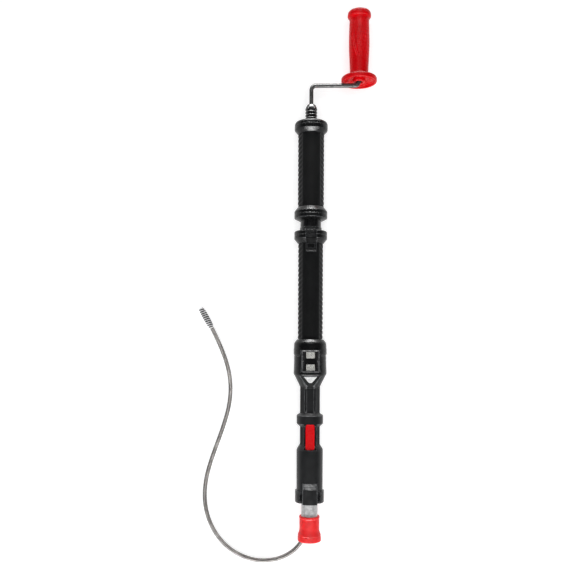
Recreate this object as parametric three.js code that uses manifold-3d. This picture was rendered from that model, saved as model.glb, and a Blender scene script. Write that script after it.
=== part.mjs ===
// A hand-cranked drain snake lying on its back: a telescoping handle set with a detachable crank,
// a lock housing, a sliding guide tube with a rubber boot, and a steel cable that ends in a bulb.
// Millimetres, +Z up, floor at z = 0. The tool's axis runs along +Y; stations along it are
// measured from the boot's mouth, and the side with the buttons faces +Z.

import * as THREE from "three";
import { mergeVertices } from "three/addons/utils/BufferGeometryUtils.js";
import Module from "manifold-3d";

const wasm = await Module();
wasm.setup();

// ---- Driving dimensions ----

const TOTAL_LENGTH = 820;
const AXIS_HEIGHT = 25.6;
const GAP = 0.3;
const FACETS = 24;
const INNER_FACETS = 20;

const FLANGE_RADIUS = 25.6;
const CRANK_OFFSET = 73.5;
const CRANK_REACH = 704.7;
const BEND_RADIUS = 7;
const BAR_ACROSS_FLATS = 6;
const BAR_START = 650;
const BAR_END = 802;
const GUARD_RADIUS = 27.5;
const CRANK_TILT = Math.asin((GUARD_RADIUS - AXIS_HEIGHT) / CRANK_OFFSET);

const SHAFT_RADIUS = 6;
const BEARING_RADIUS = 14.7;
const HANDLE_CORE_RADIUS = 18;
const UPPER_GRIP_RADIUS = 20.2;
const LOWER_GRIP_RADIUS = 19.3;
const TELESCOPE_RADIUS = 16;
const TELESCOPE_WALL = 1.8;
const TELESCOPE_START = 296;
const TELESCOPE_END = 512.4;

const CABLE_RADIUS = 3.175;
const CABLE_START = 38;
const CABLE_TOP = 595.5;

const NECK_FLAT = 15.1;
const FACET_START = 239;
const FACET_HEIGHT = 14.8;
const FACET_ANGLE = Math.atan((17.6 - FACET_HEIGHT) / (255.6 - FACET_START));
const RAIL_HEIGHT = 16.1;
const BORE_RADIUS = 13.1;
const GUIDE_TUBE_RADIUS = 12.7;
const GUIDE_TUBE_WALL = 1.2;
const GUIDE_TUBE_START = 20;
const GUIDE_TUBE_END = 226;

const FRONT_FLAT = 20.6;
const WINDOW_HALF_WIDTH = 13.5;
const WINDOW_START = 260.9;
const WINDOW_END = 295.1;
const ROCKER_CENTRE = 278.2;
const ROCKER_PIN_HEIGHT = 19;

const BADGE_HALF_WIDTH = 6.9;
const BADGE_START = 142.6;
const BADGE_END = 181.7;

const TIP_LENGTH = 33.6;
const TIP_TURNS = 10;
const TIP_WIRE_RADIUS = 0.95;
const TIP_HEADING = Math.PI / 6;
const TIP_BASE = new THREE.Vector3(-192.4, -80.4, 5.8);

// The tool is centred on the part's origin in plan.
const AXIS_X = -(CRANK_OFFSET * Math.cos(CRANK_TILT) + GUARD_RADIUS - FLANGE_RADIUS) / 2;
const MOUTH_Y = -TOTAL_LENGTH / 2;

// The free cable's centre line, in the part's own frame, from the exit bush to the bulb.
const CABLE_ROUTE = [
  [-37.7, -372, 25.6],
  [-38.4, -382, 25.4],
  [-40.6, -392, 24.7],
  [-44.2, -402, 23.5],
  [-48.2, -410, 22],
  [-54.8, -420.2, 19],
  [-65.6, -431.6, 14.4],
  [-82.8, -442.3, 8.4],
  [-101.5, -447.3, 4.6],
  [-120.6, -447.4, 3.4],
  [-139, -442.7, 3.3],
  [-156, -434.3, 3.3],
  [-170.9, -422.5, 3.3],
  [-183.2, -408, 3.3],
  [-192.5, -391.4, 3.3],
  [-198.9, -373.6, 3.3],
  [-202.2, -354.9, 3.3],
  [-202.3, -335.9, 3.3],
  [-199.9, -317, 3.3],
  [-195.3, -298.6, 3.3],
  [-189.5, -280.5, 3.3],
  [-183.1, -262.6, 3.3],
  [-176.7, -244.7, 3.3],
  [-170.9, -226.6, 3.3],
  [-166, -208.3, 3.3],
  [-163.2, -189.5, 3.3],
  [-162.8, -170.5, 3.3],
  [-165.1, -151.6, 3.4],
  [-169.8, -133.2, 3.8],
  [-176.4, -115.3, 4.6],
  [-184.1, -97.6, 5.4],
  [-192.2, -80.8, 5.8],
];
const CABLE_STEPS = 36;

// ---- Materials ----

function finish(colour, roughness, metalness = 0) {
  return new THREE.MeshStandardMaterial({ color: colour, roughness, metalness });
}

const blackPlastic = () => finish(0x1b1c1e, 0.38);
const blackRubber = () => finish(0x191a1b, 0.75);
const glossBlack = () => finish(0x101112, 0.18);
const greyPlastic = () => finish(0x9da0a3, 0.45);
const redPlastic = () => finish(0xc8101c, 0.42);
const redRubber = () => finish(0xdc2026, 0.6);
const nylon = () => finish(0xe8e6df, 0.5);
const steel = () => finish(0xa9adb0, 0.35, 0.9);
const zincTube = () => finish(0xb9bcbd, 0.45, 0.85);
const blackSteel = () => finish(0x26282a, 0.4, 0.7);
const springSteel = () => finish(0x8c9094, 0.3, 0.9);

// ---- Solids ----

function solidOf(geometry) {
  const bare = geometry.clone();
  bare.deleteAttribute("normal");
  bare.deleteAttribute("uv");
  const merged = mergeVertices(bare, 1e-4);
  return new wasm.Manifold(new wasm.Mesh({
    numProp: 3,
    vertProperties: merged.attributes.position.array,
    triVerts: new Uint32Array(merged.index.array),
  }));
}

function geometryOf(solid) {
  const mesh = solid.getMesh();
  const geometry = new THREE.BufferGeometry();
  geometry.setAttribute("position", new THREE.BufferAttribute(mesh.vertProperties, 3));
  geometry.setIndex(new THREE.BufferAttribute(mesh.triVerts, 1));
  geometry.computeVertexNormals();
  return geometry;
}

function joined(first, ...others) {
  return geometryOf(others.reduce((whole, other) => whole.add(solidOf(other)), solidOf(first)));
}

function cut(body, ...tools) {
  return geometryOf(tools.reduce((rest, tool) => rest.subtract(solidOf(tool)), solidOf(body)));
}

function common(first, second) {
  return geometryOf(solidOf(first).intersect(solidOf(second)));
}

// A piece turned about the tool's axis from [radius, station] corners. A profile that touches
// the axis starts and ends there; any other closes on itself.
function turned(profile, facets = FACETS) {
  const doubled = profile.reduce((sum, [r, s], i) => {
    const [nextR, nextS] = profile[(i + 1) % profile.length];
    return sum + r * nextS - nextR * s;
  }, 0);
  const ordered = doubled > 0 ? profile : [...profile].reverse();
  const points = ordered.map(([r, s]) => new THREE.Vector2(r, s));
  const onAxis = points[0].x === 0 && points[points.length - 1].x === 0;
  if (!onAxis) points.push(points[0].clone());
  return new THREE.LatheGeometry(points, facets);
}

// A plain ring between two radii and two stations.
function ring(inner, outer, start, end, facets = FACETS) {
  return turned([[inner, start], [outer, start], [outer, end], [inner, end]], facets);
}

function rod(radius, start, end, facets = INNER_FACETS) {
  return turned([[0, start], [radius, start], [radius, end], [0, end]], facets);
}

// An outline in x and z, carried along the axis from one station to another.
function prism(shape, start, end, curveSegments = 6) {
  const options = { depth: end - start, bevelEnabled: false, curveSegments };
  return new THREE.ExtrudeGeometry(shape, options).rotateX(Math.PI / 2).translate(0, end, 0);
}

function block([x0, x1], [s0, s1], [z0, z1]) {
  const box = new THREE.BoxGeometry(x1 - x0, s1 - s0, z1 - z0);
  return box.translate((x0 + x1) / 2, (s0 + s1) / 2, (z0 + z1) / 2);
}

// A round peg standing along Z.
function peg(radius, x, station, [z0, z1], facets = 12) {
  const cylinder = new THREE.CylinderGeometry(radius, radius, z1 - z0, facets);
  return cylinder.rotateX(Math.PI / 2).translate(x, station, (z0 + z1) / 2);
}

// A round pin lying across the tool along X.
function crossPin(radius, halfWidth, station, z, facets = 12) {
  const cylinder = new THREE.CylinderGeometry(radius, radius, 2 * halfWidth, facets);
  return cylinder.rotateZ(Math.PI / 2).translate(0, station, z);
}

function polygon(radius, sides, turn = 0) {
  const corners = Array.from({ length: sides }, (_, i) => {
    const angle = turn + (2 * Math.PI * i) / sides;
    return new THREE.Vector2(radius * Math.cos(angle), radius * Math.sin(angle));
  });
  return new THREE.Shape(corners);
}

function roundedPlate(halfWidth, start, end, corner) {
  const shape = new THREE.Shape();
  shape.absarc(halfWidth - corner, end - corner, corner, 0, Math.PI / 2);
  shape.absarc(corner - halfWidth, end - corner, corner, Math.PI / 2, Math.PI);
  shape.absarc(corner - halfWidth, start + corner, corner, Math.PI, 1.5 * Math.PI);
  shape.absarc(halfWidth - corner, start + corner, corner, 1.5 * Math.PI, 2 * Math.PI);
  return shape;
}

// A plate drawn in x and station, standing from one height to another.
function plate(shape, [z0, z1], curveSegments = 4) {
  const options = { depth: z1 - z0, bevelEnabled: false, curveSegments };
  return new THREE.ExtrudeGeometry(shape, options).translate(0, 0, z0);
}

// A path through listed points, one step of the swept piece for each stretch between them.
class ListedPath extends THREE.Curve {
  constructor(points) {
    super();
    this.points = points;
  }

  getUtoTmapping(u) {
    return u;
  }

  getPoint(t, target = new THREE.Vector3()) {
    const place = t * (this.points.length - 1);
    const before = Math.min(Math.floor(place), this.points.length - 2);
    return target.lerpVectors(this.points[before], this.points[before + 1], place - before);
  }
}

function swept(shape, path, steps) {
  return new THREE.ExtrudeGeometry(shape, { extrudePath: path, steps });
}

// Wire wound about an upward axis at the origin; radiusAt gives the winding's mean radius.
function winding({ from, to, turns, wire, radiusAt, stepsPerTurn = 8, sides = 4 }) {
  const steps = turns * stepsPerTurn;
  const points = Array.from({ length: steps + 1 }, (_, i) => {
    const share = i / steps;
    const angle = share * turns * 2 * Math.PI;
    const radius = radiusAt(share);
    const height = from + (to - from) * share;
    return new THREE.Vector3(radius * Math.cos(angle), radius * Math.sin(angle), height);
  });
  return swept(polygon(wire, sides), new ListedPath(points), steps);
}

// ---- Crank ----

function cornerArc(centreX, centreS, from, to) {
  const arcSteps = 5;
  return Array.from({ length: arcSteps + 1 }, (_, i) => {
    const angle = from + ((to - from) * i) / arcSteps;
    const x = centreX + BEND_RADIUS * Math.cos(angle);
    return new THREE.Vector3(x, centreS + BEND_RADIUS * Math.sin(angle), 0);
  });
}

function crankBar() {
  const path = new ListedPath([
    new THREE.Vector3(0, BAR_START, 0),
    ...cornerArc(BEND_RADIUS, CRANK_REACH - BEND_RADIUS, Math.PI, Math.PI / 2),
    ...cornerArc(CRANK_OFFSET - BEND_RADIUS, CRANK_REACH + BEND_RADIUS, -Math.PI / 2, 0),
    new THREE.Vector3(CRANK_OFFSET, BAR_END, 0),
  ]);
  const cornerRadius = BAR_ACROSS_FLATS / Math.sqrt(3);
  return swept(polygon(cornerRadius, 6), path, path.points.length - 1);
}

function crankGrip() {
  return turned([
    [3.9, 714.6],
    [6, 714.6],
    [6, 709.4],
    [8.6, 709.4],
    [9.6, 710.6],
    [10.2, 714.4],
    [23.4, 712.4],
    [24.6, 709.6],
    [26.7, 709.2],
    [GUARD_RADIUS, 710.4],
    [GUARD_RADIUS, 714.8],
    [26.2, 716.4],
    [15.6, 719.2],
    [14.1, 721.8],
    [14.9, 741],
    [15.7, 757],
    [16, 770],
    [15.7, 788],
    [15.1, 804.5],
    [15.8, 807.4],
    [17.9, 809.6],
    [18.2, 812.5],
    [17.7, 816],
    [15.7, 818.2],
    [10.8, 818.2],
    [10.8, 816.3],
    [7.6, 816.3],
    [7.6, 796],
    [3.9, 796],
  ]);
}

function gripEndCap() {
  return turned([
    [0, 808.6],
    [7.2, 808.6],
    [7.2, 816.7],
    [10.4, 816.7],
    [10.4, 818.5],
    [6.4, 819.6],
    [0, TOTAL_LENGTH],
  ], INNER_FACETS);
}

// ---- Quick-change coupler ----

function couplerBody() {
  const body = turned([
    [0, 647],
    [6.6, 647],
    [6.6, 651.6],
    [5.4, 652],
    [5.4, 665],
    [6.6, 665.4],
    [6.6, 673],
    [0, 673],
  ], INNER_FACETS);
  const socket = prism(polygon((BAR_ACROSS_FLATS + 0.7) / Math.sqrt(3), 6, Math.PI / 6), 649, 674);
  return cut(body, socket);
}

function couplerSleeve() {
  const ribPitch = 4.75;
  const ribs = [0, 1, 2, 3, 4].flatMap((i) => {
    const station = 667.9 - i * ribPitch;
    return [[9.3, station], [9.3, station - 1.6], [8.5, station - 3.2]];
  });
  return turned([
    [4.1, 675],
    [5.6, 675],
    [6.9, 673.8],
    [8.7, 670],
    ...ribs.slice(0, -1),
    [8.5, 646.9],
    [6.9, 646.9],
    [6.9, 673.3],
    [4.1, 673.3],
  ], INNER_FACETS);
}

// ---- Upper handle ----

function upperTopFlange() {
  return turned([
    [HANDLE_CORE_RADIUS + GAP, 628.5],
    [20, 628.5],
    [25.3, 634.4],
    [FLANGE_RADIUS, 636],
    [FLANGE_RADIUS, 642.8],
    [24.4, 645.2],
    [21, 646.4],
    [7.4, 646.4],
    [7.4, 640.6],
    [HANDLE_CORE_RADIUS + GAP, 640.6],
  ]);
}

function upperBottomFlange() {
  return turned([
    [TELESCOPE_RADIUS + GAP, 495.2],
    [19, 495.2],
    [25.5, 498.4],
    [25.5, 509],
    [19.9, 516],
    [HANDLE_CORE_RADIUS + GAP, 516],
    [HANDLE_CORE_RADIUS + GAP, 512.8],
    [TELESCOPE_RADIUS + GAP, 512.8],
  ]);
}

function cableConnector() {
  const body = turned([
    [0, 596],
    [3.6, 596],
    [3.6, 578],
    [7.2, 578],
    [8, 579.2],
    [8, 604.2],
    [0, 604.2],
  ], INNER_FACETS);
  return cut(body, peg(2.1, 0, 586, [2, 9]));
}

// ---- Lower handle ----

function buttonPocket(halfWidth, floorRadius, start, end) {
  const band = ring(floorRadius, 40, start, end);
  return common(band, block([-halfWidth, halfWidth], [start - 1, end + 1], [0, 45]));
}

function headButtonPocket() {
  return buttonPocket(8.3, 17.75, 445.1, 479);
}

function lowerHandleCore() {
  return ring(16.3, 17.6, 300, 478.2);
}

function lowerHandleFlange() {
  const body = turned([
    [17.9, 459.6],
    [19.6, 459.6],
    [25.4, 466.3],
    [25.4, 477.6],
    [24.8, 478.2],
    [17.9, 478.2],
  ]);
  return cut(body, headButtonPocket());
}

function lowerGrip() {
  const sleeve = ring(17.9, LOWER_GRIP_RADIUS, 311.9, 459.3);
  return cut(sleeve, block([-8.3, 8.3], [445.1, 460], [0, 30]));
}

function wiperRing() {
  return turned([
    [16.3, 478.5],
    [18.5, 478.5],
    [18.5, 480],
    [16.9, 480.4],
    [16.9, 484],
    [16.6, 484.6],
    [16.3, 484.6],
  ]);
}

// A thumb button cut from a turned profile, with a seat for its spring on the inside.
function thumbButton(profile, halfWidth, springStation, springTop, seatRadius) {
  const stations = profile.map(([, station]) => station);
  const span = [Math.min(...stations) - 1, Math.max(...stations) + 1];
  const body = common(turned(profile), block([-halfWidth, halfWidth], span, [0, 40]));
  return cut(body, peg(seatRadius, 0, springStation, [10, springTop], 10));
}

function headButton() {
  return thumbButton([
    [19.3, 445.5],
    [20.3, 445.5],
    [21.7, 448.4],
    [22.5, 458],
    [FLANGE_RADIUS, 465.5],
    [FLANGE_RADIUS, 477.3],
    [19.3, 477.3],
  ], 8, 471.4, 23.7, 2.7);
}

function pressSpring(from, to, station) {
  const spring = winding({ from, to, turns: 3, wire: 0.35, radiusAt: () => 1.8 });
  return spring.translate(0, station, 0);
}

// ---- Lock housing ----

function lockHousing() {
  const shell = turned([
    [13.4, 255.9],
    [25, 255.9],
    [25.5, 259],
    [25.5, 262],
    [25, 272],
    [24.9, 280],
    [24.4, 287.4],
    [FLANGE_RADIUS, 290.6],
    [FLANGE_RADIUS, 296],
    [25.2, 298.5],
    [24.9, 305],
    [23.6, 308.4],
    [19.6, 311.6],
    [17.9, 311.6],
    [17.9, 299.7],
    [16.5, 299.7],
    [16.5, 287.5],
    [15, 287.5],
    [15, 262.5],
    [13.4, 262.5],
  ]);
  const foot = block([-WINDOW_HALF_WIDTH, WINDOW_HALF_WIDTH], [262, 296], [-AXIS_HEIGHT, -18.4]);
  const flat = block([-13.7, 13.7], [WINDOW_START - GAP, WINDOW_END + GAP], [FRONT_FLAT, 30]);
  const pocket = block([-11.4, 11.4], [263.5, 293], [17.4, 30]);
  const hubRoom = block([-11.4, 11.4], [ROCKER_CENTRE - 3, ROCKER_CENTRE + 3], [16.6, 20]);
  const pinBore = crossPin(1.1, 13.1, ROCKER_CENTRE, ROCKER_PIN_HEIGHT, 8);
  return cut(joined(shell, foot), flat, pocket, hubRoom, pinBore);
}

function windowBezel() {
  const shape = roundedPlate(WINDOW_HALF_WIDTH, WINDOW_START, WINDOW_END, 1.2);
  const opening = roundedPlate(11.5, 263.4, 293.1, 0.8);
  shape.holes.push(opening);
  return plate(shape, [FRONT_FLAT + GAP, 21.7], 2);
}

function rocker() {
  const leaf = block([-10.9, 10.9], [ROCKER_CENTRE - 14.1, ROCKER_CENTRE + 14.1], [18.4, 20.5]);
  const hub = block([-10.6, 10.6], [ROCKER_CENTRE - 2.2, ROCKER_CENTRE + 2.2], [17.2, 19]);
  return cut(joined(leaf, hub), crossPin(1.1, 12, ROCKER_CENTRE, ROCKER_PIN_HEIGHT, 8));
}

function rockerPad(centre) {
  return plate(roundedPlate(6.65, centre - 4.7, centre + 4.7, 0.8), [20.5 + GAP, 21.6], 2);
}

function lockJaw(direction) {
  const heights = [direction, 13.4 * direction].sort((a, b) => a - b);
  return cut(block([-6, 6], [270, 285.6], heights), rod(4.2, 268, 288, 12));
}

// ---- Lower housing ----

function lowerHousingBody() {
  const turnedBody = turned([
    [BORE_RADIUS, 79.2],
    [20.2, 79.2],
    [20.4, 141.8],
    [NECK_FLAT, 150.4],
    [NECK_FLAT, 176.7],
    [20.5, 181.5],
    [20.5, 194.6],
    [NECK_FLAT, 198],
    [NECK_FLAT, 238],
    [23.8, 255.6],
    [9, 255.6],
    [9, 231],
    [BORE_RADIUS, 231],
  ]);
  const octagon = () => polygon(NECK_FLAT / Math.cos(Math.PI / 8), 8, Math.PI / 8);
  const bore = rod(BORE_RADIUS, 140, 231, FACETS);
  const neck = cut(prism(octagon(), 197, 238.5), bore, rod(9, 230, 240));
  const waist = cut(prism(octagon(), 150, 178), bore);
  return joined(turnedBody, neck, waist);
}

// Lays a piece drawn about the origin on the sloping flat in front of the taper.
function taperFacet(geometry) {
  return geometry.rotateX(FACET_ANGLE).translate(0, FACET_START, FACET_HEIGHT);
}

function housingScrewPlaces() {
  return [112, 187].flatMap((station) => [-15.6, 15.6].map((x) => [x, station]));
}

function frontShell() {
  const half = block([-30, 30], [70, 260], [GAP / 2, 40]);
  const rails = [-10, 10].map((x) => block([x - 0.75, x + 0.75], [149, 179], [9.5, RAIL_HEIGHT]));
  const facet = taperFacet(block([-20, 20], [0, 30], [0, 20]));
  const seatHalf = BADGE_HALF_WIDTH + GAP;
  const badgeSeat = block([-seatHalf, seatHalf], [BADGE_START - GAP, BADGE_END + GAP], [NECK_FLAT, 30]);
  const buttonSeat = buttonPocket(12, 16.6, 70, 91.7);
  const screwHoles = housingScrewPlaces().map(([x, station]) => peg(1.6, x, station, [-2, 7], 8));
  const body = common(lowerHousingBody(), half);
  return cut(joined(body, ...rails), facet, badgeSeat, buttonSeat, ...screwHoles);
}

function rearShell() {
  const half = block([-30, 30], [70, 260], [-40, -GAP / 2]);
  const screwRoom = housingScrewPlaces().flatMap(([x, station]) => [
    peg(1.6, x, station, [-20, 1], 8),
    peg(2.9, x, station, [-20, -8], 12),
  ]);
  return cut(common(lowerHousingBody(), half), ...screwRoom);
}

function housingScrew(x, station) {
  const head = peg(2.6, x, station, [-10.4, -8.3], 12);
  const shank = peg(1.3, x, station, [-8.6, 6.6], 8);
  const recess = peg(1.1, x, station, [-11, -9.4], 6);
  return cut(joined(head, shank), recess);
}

function pointerPlate() {
  const shape = new THREE.Shape([
    new THREE.Vector2(-2.3, 6.3),
    new THREE.Vector2(2.3, 6.3),
    new THREE.Vector2(9.8, 15.9),
    new THREE.Vector2(-9.8, 15.9),
  ]);
  return taperFacet(plate(shape, [GAP, 1]));
}

function badgePlate() {
  const shape = roundedPlate(BADGE_HALF_WIDTH, BADGE_START, BADGE_END, 3);
  return plate(shape, [NECK_FLAT + GAP, 17.3]);
}

// ---- Nose collar and guide tube ----

function noseCollar() {
  const lobeRadius = 22.5;
  const grooveRadius = 20.7;
  const groove = THREE.MathUtils.degToRad(9);
  const grooves = [-35, 35, 135, 225].map((degrees) => THREE.MathUtils.degToRad(90 + degrees));
  const shape = new THREE.Shape();
  grooves.forEach((middle, i) => {
    const next = grooves[(i + 1) % grooves.length] + (i === grooves.length - 1 ? 2 * Math.PI : 0);
    shape.absarc(0, 0, grooveRadius, middle - groove, middle + groove);
    shape.absarc(0, 0, lobeRadius, middle + 1.3 * groove, next - 1.3 * groove);
  });
  shape.holes.push(polygon(BORE_RADIUS, FACETS));
  return cut(prism(shape, 60.6, 78.9), buttonPocket(12, 16.6, 50, 90));
}

function tubeButton() {
  return thumbButton([
    [18.3, 59.4],
    [23.1, 59.4],
    [23.1, 82.3],
    [19.9, 91.3],
    [18.3, 91.3],
  ], 11.7, 72, 21.3, 2.9);
}

function tubeBoot() {
  return turned([
    [15.9, 0],
    [17.6, 0],
    [18.05, 1],
    [18.05, 9],
    [15.9, 15],
    [15.4, 18],
    [15.4, 35.4],
    [15.8, 36.3],
    [15.8, 38],
    [15.2, 38.7],
    [GUIDE_TUBE_RADIUS + 0.25, 38.7],
    [GUIDE_TUBE_RADIUS + 0.25, 19.7],
    [11.4, 19.7],
    [12.6, 10],
  ]);
}

function exitBush() {
  return turned([
    [8.8, 40],
    [11.2, 40],
    [11.2, 56],
    [3.7, 56],
    [3.7, 46],
  ], INNER_FACETS);
}

// ---- Cable ----

function freeCable() {
  const points = CABLE_ROUTE.map(([x, y, z]) => new THREE.Vector3(x, y, z));
  const path = new THREE.CatmullRomCurve3(points, false, "centripetal");
  return swept(polygon(CABLE_RADIUS, 8), path, CABLE_STEPS);
}

function bulbTip() {
  const ends = 2.6;
  const swell = 1.75;
  return winding({
    from: TIP_WIRE_RADIUS,
    to: TIP_LENGTH - TIP_WIRE_RADIUS,
    turns: TIP_TURNS,
    wire: TIP_WIRE_RADIUS,
    radiusAt: (share) => ends + swell * Math.sqrt(Math.sin(Math.PI * Math.min(share, 1 - share))),
    stepsPerTurn: 10,
    sides: 5,
  });
}

function tipCore() {
  const core = turned([
    [0, 0.6],
    [1.2, 0.6],
    [1.6, 2],
    [2.1, 4],
    [2.5, 8],
    [2.8, 12],
    [2.9, 17],
    [2.8, 22],
    [2.5, 26],
    [2.1, 30],
    [1.2, 32.8],
    [0, 32.8],
  ], 12);
  return core.rotateX(Math.PI / 2);
}

// ---- Assembly ----

function mesh(name, geometry, material) {
  const piece = new THREE.Mesh(geometry, material);
  piece.name = name;
  return piece;
}

function crankGroup() {
  const group = new THREE.Group();
  group.rotation.y = -CRANK_TILT;
  group.add(mesh("crank_rod", crankBar(), blackSteel()));
  const grip = new THREE.Group();
  grip.position.x = CRANK_OFFSET;
  grip.add(
    mesh("crank_grip", crankGrip(), redPlastic()),
    mesh("crank_grip_end_cap", gripEndCap(), redPlastic()),
    mesh("grip_thrust_washer", ring(3.9, 5.6, 711.6, 712.8, 16), steel()),
    mesh("grip_retaining_nut", ring(3.8, 6.6, 797, 800.5, 12), steel()),
  );
  group.add(grip);
  return group;
}

function couplerPieces() {
  const spring = winding({ from: 653, to: 664, turns: 3, wire: 0.4, radiusAt: () => 6.25, stepsPerTurn: 12 });
  return [
    mesh("coupler_body", couplerBody(), blackSteel()),
    mesh("coupler_sleeve", couplerSleeve(), glossBlack()),
    mesh("coupler_spring", spring.rotateX(-Math.PI / 2), springSteel()),
  ];
}

function drivePieces() {
  const shaft = rod(SHAFT_RADIUS, 604.5, 646.7);
  return [
    mesh("drive_shaft", shaft, steel()),
    mesh("shaft_retaining_ring", ring(6.3, 8.4, 604.6, 605.7, 16), springSteel()),
    mesh("cable_connector", cableConnector(), steel()),
    mesh("connector_screw", peg(1.8, 0, 586, [3.5, 7.4], 6), blackSteel()),
    mesh("inner_cable", rod(CABLE_RADIUS, CABLE_START + GAP, CABLE_TOP, 10), steel()),
  ];
}

function upperHandlePieces() {
  const innerTube = ring(TELESCOPE_RADIUS - TELESCOPE_WALL, TELESCOPE_RADIUS,
    TELESCOPE_START, TELESCOPE_END, INNER_FACETS);
  return [
    mesh("upper_top_flange", upperTopFlange(), blackPlastic()),
    mesh("upper_bottom_flange", upperBottomFlange(), blackPlastic()),
    mesh("upper_handle_core", ring(15, HANDLE_CORE_RADIUS, 513.1, 640.3, INNER_FACETS), blackPlastic()),
    mesh("upper_grip", ring(18.3, UPPER_GRIP_RADIUS, 516.3, 628.2), blackRubber()),
    mesh("upper_bearing", ring(6.3, BEARING_RADIUS, 630, 639.6, INNER_FACETS), steel()),
    mesh("lower_bearing", ring(6.3, BEARING_RADIUS, 606, 614, INNER_FACETS), steel()),
    mesh("telescope_tube", innerTube, blackPlastic()),
    mesh("telescope_glide_ring", ring(14.2, 16.1, 291.5, 295.7, INNER_FACETS), nylon()),
  ];
}

function lowerHandlePieces() {
  return [
    mesh("lower_handle_core", lowerHandleCore(), blackPlastic()),
    mesh("lower_handle_flange", lowerHandleFlange(), blackPlastic()),
    mesh("lower_grip", lowerGrip(), blackRubber()),
    mesh("wiper_ring", wiperRing(), blackRubber()),
    mesh("telescope_button", headButton(), blackPlastic()),
    mesh("telescope_button_spring", pressSpring(18.2, 23.2, 471.4), springSteel()),
  ];
}

function lockPieces() {
  return [
    mesh("lock_housing", lockHousing(), blackPlastic()),
    mesh("window_bezel", windowBezel(), blackPlastic()),
    mesh("lock_rocker", rocker(), blackPlastic()),
    mesh("rocker_pad_upper", rockerPad(287.4), greyPlastic()),
    mesh("rocker_pad_lower", rockerPad(268.6), greyPlastic()),
    mesh("rocker_pin", crossPin(0.8, 12.8, ROCKER_CENTRE, ROCKER_PIN_HEIGHT, 8), steel()),
    mesh("cable_lock_jaw", lockJaw(1), steel()),
    mesh("cable_lock_anvil", lockJaw(-1), steel()),
  ];
}

function lowerHousingPieces() {
  const screws = housingScrewPlaces().map(([x, station], i) =>
    mesh(`housing_screw_${i + 1}`, housingScrew(x, station), blackSteel()));
  return [
    mesh("lower_housing_front", frontShell(), blackPlastic()),
    mesh("lower_housing_rear", rearShell(), blackPlastic()),
    mesh("pointer_plate", pointerPlate(), nylon()),
    mesh("badge_plate", badgePlate(), redPlastic()),
    mesh("nose_collar", noseCollar(), blackPlastic()),
    mesh("tube_button", tubeButton(), blackPlastic()),
    mesh("tube_button_spring", pressSpring(16.9, 20.9, 72), springSteel()),
    ...screws,
  ];
}

function guideTubePieces() {
  const tube = ring(GUIDE_TUBE_RADIUS - GUIDE_TUBE_WALL, GUIDE_TUBE_RADIUS,
    GUIDE_TUBE_START, GUIDE_TUBE_END, INNER_FACETS);
  return [
    mesh("guide_tube", tube, zincTube()),
    mesh("tube_stop_ring", ring(10, 12.85, 226.3, 229.8, INNER_FACETS), blackPlastic()),
    mesh("tube_boot", tubeBoot(), redRubber()),
    mesh("exit_bush", exitBush(), nylon()),
  ];
}

function tipGroup() {
  const group = new THREE.Group();
  group.position.copy(TIP_BASE);
  group.rotation.set(-Math.PI / 2, 0, TIP_HEADING, "ZXY");
  group.add(
    mesh("bulb_tip", bulbTip(), blackSteel()),
    mesh("tip_core", tipCore(), steel()),
  );
  return group;
}

const tool = new THREE.Group();
tool.position.set(AXIS_X, MOUTH_Y, AXIS_HEIGHT);
tool.add(
  crankGroup(),
  ...couplerPieces(),
  ...drivePieces(),
  ...upperHandlePieces(),
  ...lowerHandlePieces(),
  ...lockPieces(),
  ...lowerHousingPieces(),
  ...guideTubePieces(),
);

const drainSnake = new THREE.Group();
drainSnake.add(tool, mesh("free_cable", freeCable(), steel()), tipGroup());

export default drainSnake;
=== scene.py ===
import math

import bmesh
import bpy
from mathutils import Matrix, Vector


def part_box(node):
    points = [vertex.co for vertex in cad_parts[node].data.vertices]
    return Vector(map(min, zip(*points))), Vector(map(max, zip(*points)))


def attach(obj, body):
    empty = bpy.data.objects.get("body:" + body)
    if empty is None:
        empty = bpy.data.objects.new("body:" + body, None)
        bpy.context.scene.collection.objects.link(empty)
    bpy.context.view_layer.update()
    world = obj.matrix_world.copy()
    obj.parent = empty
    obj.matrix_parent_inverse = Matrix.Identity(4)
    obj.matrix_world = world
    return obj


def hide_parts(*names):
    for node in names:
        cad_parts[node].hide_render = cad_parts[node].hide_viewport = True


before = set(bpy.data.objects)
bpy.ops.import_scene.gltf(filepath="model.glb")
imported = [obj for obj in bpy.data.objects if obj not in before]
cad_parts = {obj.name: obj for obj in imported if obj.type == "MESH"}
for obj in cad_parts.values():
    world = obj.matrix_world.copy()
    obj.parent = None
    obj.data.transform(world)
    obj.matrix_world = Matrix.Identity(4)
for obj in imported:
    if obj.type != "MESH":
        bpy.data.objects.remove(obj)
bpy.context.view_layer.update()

# A hand-cranked drain snake on its back. Shapes are written in millimetres in the tool's own
# frame: x to the right, a station along the tool from the boot's mouth, and a height above the
# tool's axis. place() puts such a point into the row frame, in metres.

MM = 0.001
tube_low, tube_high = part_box("guide_tube")
AXIS_X = (tube_low.x + tube_high.x) / 2
AXIS_Z = (tube_low.z + tube_high.z) / 2
MOUTH_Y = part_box("tube_boot")[0].y
FLOOR_HEIGHT = -AXIS_Z / MM

CABLE_RADIUS = 3.175
WIRE_PITCH = 1.45
WIRE_GROOVE = 0.55
CABLE_STEP = WIRE_PITCH / 6

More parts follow.
